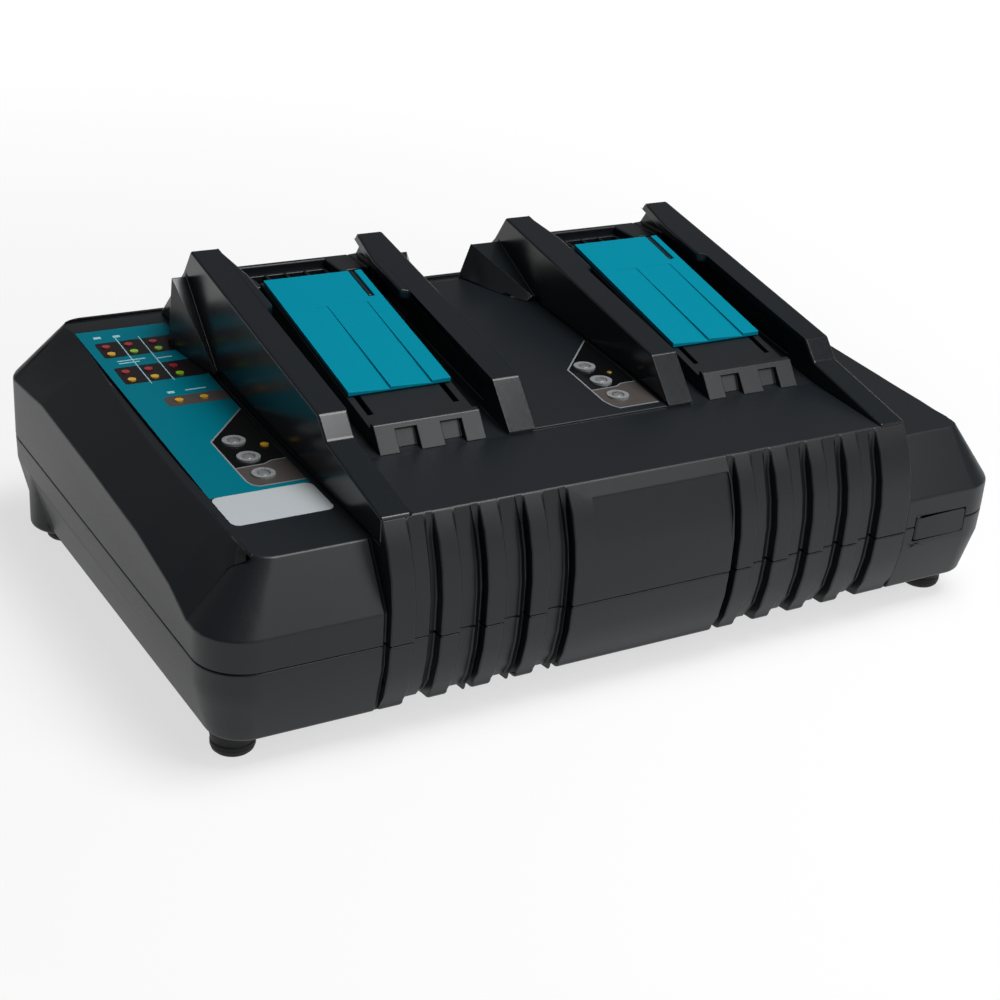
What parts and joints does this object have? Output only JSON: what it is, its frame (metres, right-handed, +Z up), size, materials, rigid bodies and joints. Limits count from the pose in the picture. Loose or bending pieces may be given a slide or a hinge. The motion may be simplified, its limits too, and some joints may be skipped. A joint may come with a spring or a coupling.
{
  "type": "power tool battery charger",
  "caption": "Fan-cooled twin-bay mains charger for slide-in tool batteries, with sprung terminal shutters, a status panel and a USB outlet.",
  "frame": {"origin": "middle of the footprint, on the surface that the four feet stand on", "axes": "+X to the user's right, +Y away from the user towards the cord inlet, +Z up"},
  "size_m": [0.34, 0.2308, 0.1222],
  "materials": {
    "housing_black": "fine spark-eroded texture",
    "rail_black": "fine spark-eroded texture",
    "tower_black": "satin",
    "shutter_teal": "satin",
    "spring_steel": "drawn wire",
    "block_grey": "moulded",
    "contact_metal": "tin plated",
    "package_black": "moulded epoxy",
    "duct_foil": "moulded",
    "fan_black": "moulded",
    "label_teal": "printed film",
    "plate_grey": "bare printed film",
    "window_black": "smooth gloss",
    "ring_silver": "satin metallised",
    "ring_lens": "smoked, moulded",
    "lens_red": "translucent",
    "lens_yellow": "translucent",
    "lens_green": "translucent",
    "board_green": "solder resist",
    "screw_steel": "zinc plated",
    "usb_steel": "nickel plated",
    "usb_tongue_plastic": "moulded",
    "foot_rubber": "matt",
    "ferrite_grey": "sintered",
    "winding_tape": "yellow insulating tape",
    "capacitor_sleeve": "shrink sleeve",
    "heat_sink_aluminium": "extruded",
    "choke_copper": "enamelled copper",
    "relay_white": "moulded"
  },
  "bodies": {
    "housing": {"upper_housing": "housing_black", "lower_housing": "housing_black", "rail_left_outer": "rail_black", "rail_left_inner": "rail_black", "rail_right_inner": "rail_black", "rail_right_outer": "rail_black", "terminal_tower_left": "tower_black", "terminal_tower_right": "tower_black", "shutter_spring_left": "spring_steel", "shutter_spring_right": "spring_steel", "terminal_block_left": "block_grey", "terminal_block_right": "block_grey", "blades_left": "contact_metal", "blades_right": "contact_metal", "signal_socket_left": "package_black", "signal_socket_right": "package_black", "outlet_grille_left": "tower_black", "outlet_grille_right": "tower_black", "air_duct_left": "duct_foil", "air_duct_right": "duct_foil", "fan_frame_left": "fan_black", "fan_frame_right": "fan_black", "legend_label": "label_teal", "blank_plate": "plate_grey", "status_window_left": "window_black", "status_window_centre": "window_black", "ring_bezels": "ring_silver", "ring_lenses": "ring_lens", "lenses_red": "lens_red", "lenses_yellow": "lens_yellow", "lenses_green": "lens_green", "main_board": "board_green", "display_board": "board_green", "usb_board": "board_green", "board_screws": "screw_steel", "housing_screws": "screw_steel", "rail_screws": "screw_steel", "fan_screws": "screw_steel", "usb_socket": "usb_steel", "usb_tongue": "usb_tongue_plastic", "foot_front_left": "foot_rubber", "foot_front_right": "foot_rubber", "foot_rear_left": "foot_rubber", "foot_rear_right": "foot_rubber", "cord_gland": "foot_rubber", "transformer_core": "ferrite_grey", "transformer_winding": "winding_tape", "bulk_capacitors": "capacitor_sleeve", "heat_sinks": "heat_sink_aluminium", "power_transistors": "package_black", "toroid_chokes": "choke_copper", "relays": "relay_white"},
    "shutter_left": {"shutter_left": "shutter_teal"},
    "shutter_right": {"shutter_right": "shutter_teal"},
    "usb_cover": {"usb_cover": "housing_black"},
    "fan_rotor_left": {"fan_rotor_left": "fan_black"},
    "fan_rotor_right": {"fan_rotor_right": "fan_black"}
  },
  "joints": [
    {"name": "shutter_left_slide", "type": "slide", "parent": "housing", "child": "shutter_left", "axis": [0, -0.9763, -0.2164], "range_m": [0, 0.018], "stiffness_N_per_m": 100, "springref_m": -0.008, "deforming": ["shutter_spring_left"]},
    {"name": "shutter_right_slide", "type": "slide", "parent": "housing", "child": "shutter_right", "axis": [0, -0.9763, -0.2164], "range_m": [0, 0.018], "stiffness_N_per_m": 100, "springref_m": -0.008, "deforming": ["shutter_spring_right"]},
    {"name": "usb_cover_hinge", "type": "hinge", "parent": "housing", "child": "usb_cover", "pos_m": [0.1264, -0.1123, 0.039], "axis": [0, 0, -1], "range_deg": [0, 95]},
    {"name": "fan_left_spin", "type": "hinge", "parent": "housing", "child": "fan_rotor_left", "pos_m": [-0.06555, 0.06, 0.085], "axis": [0, 0, 1], "continuous": true},
    {"name": "fan_right_spin", "type": "hinge", "parent": "housing", "child": "fan_rotor_right", "pos_m": [0.07655, 0.06, 0.085], "axis": [0, 0, 1], "continuous": true}
  ]
}
